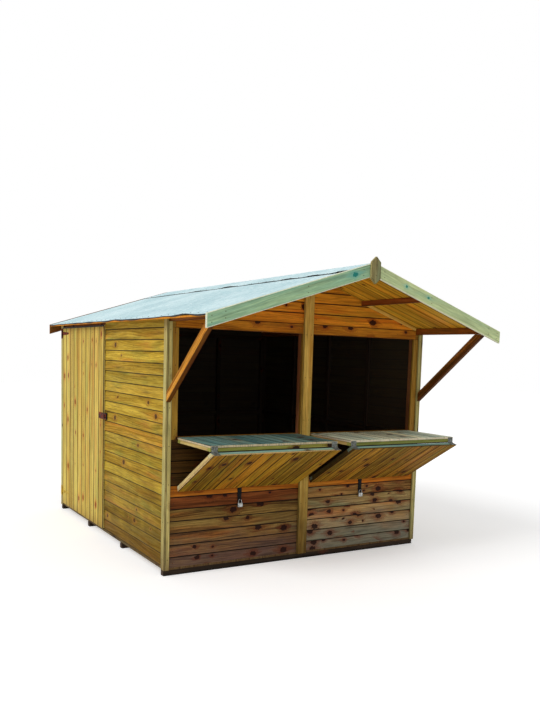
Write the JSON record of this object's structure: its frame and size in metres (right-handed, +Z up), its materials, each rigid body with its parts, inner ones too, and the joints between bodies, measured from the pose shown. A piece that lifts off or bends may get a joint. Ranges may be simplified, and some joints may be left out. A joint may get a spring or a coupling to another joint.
{
  "type": "wooden market stall",
  "caption": "Boarded wooden hut used as a market stall, with a felted gable roof, a deep front canopy, serving hatches let down as propped counters, and a hinged side door.",
  "frame": {"origin": "on the ground under the middle of the roof, at the level of the bearers' undersides", "axes": "+X to the right along the front, +Y from the front to the back, +Z up"},
  "size_m": [2.5, 3.642, 2.2913],
  "materials": {
    "dark_timber": "rough sawn, dark with damp",
    "frame_timber": "sawn, pressure treated",
    "wall_boards": "planed boards, pressure treated",
    "front_boards": "planed boards, pressure treated",
    "gable_boards": "planed boards, warm brown",
    "trim_boards": "planed, pale green",
    "roof_timber": "sawn boards",
    "barge_boards": "planed, pale sage green",
    "brace_timber": "sawn, warm brown",
    "counter_boards": "planed, weathered blue grey",
    "batten_timber": "sawn battens",
    "prop_boards": "planed boards in shade",
    "door_boards": "tongued boards, pale",
    "felt": "mineral roofing felt, pale blue green",
    "galvanised": "dull zinc",
    "black_iron": "black japanned",
    "rusty_iron": "rusted"
  },
  "bodies": {
    "hut": {"bearers": "dark_timber", "floor": "frame_timber", "left_cladding": "wall_boards", "left_frame": "frame_timber", "right_cladding": "wall_boards", "right_frame": "frame_timber", "rear_cladding": "wall_boards", "rear_frame": "frame_timber", "front_cladding": "front_boards", "front_frame": "frame_timber", "front_gable": "gable_boards", "head_board": "trim_boards", "jamb_boards": "trim_boards", "sills": "trim_boards", "centre_post": "trim_boards", "front_corner_boards": "trim_boards", "side_corner_boards": "trim_boards", "rear_corner_boards": "trim_boards", "eave_beams": "roof_timber", "purlins": "roof_timber", "roof_boards_left": "roof_timber", "roof_boards_right": "roof_timber", "felt_left": "felt", "felt_right": "felt", "felt_ridge": "felt", "front_barge_boards": "barge_boards", "rear_barge_boards": "barge_boards", "finial": "barge_boards", "canopy_braces": "brace_timber", "counter_boards": "counter_boards", "counter_battens": "batten_timber", "prop_boards": "prop_boards", "prop_battens": "batten_timber", "hatch_hinges": "galvanised", "hatch_hasps": "black_iron", "padlocks": "galvanised", "door_hinge_jambs": "rusty_iron", "door_staple": "black_iron"},
    "door": {"door_boards": "door_boards", "door_ledges": "frame_timber", "door_hinge_straps": "rusty_iron", "door_hasp": "rusty_iron"}
  },
  "joints": [
    {"name": "door_swing", "type": "hinge", "parent": "hut", "child": "door", "pos_m": [-1.1762, 1.62, 0.19], "axis": [0, 0, -1], "range_deg": [0, 110]}
  ]
}
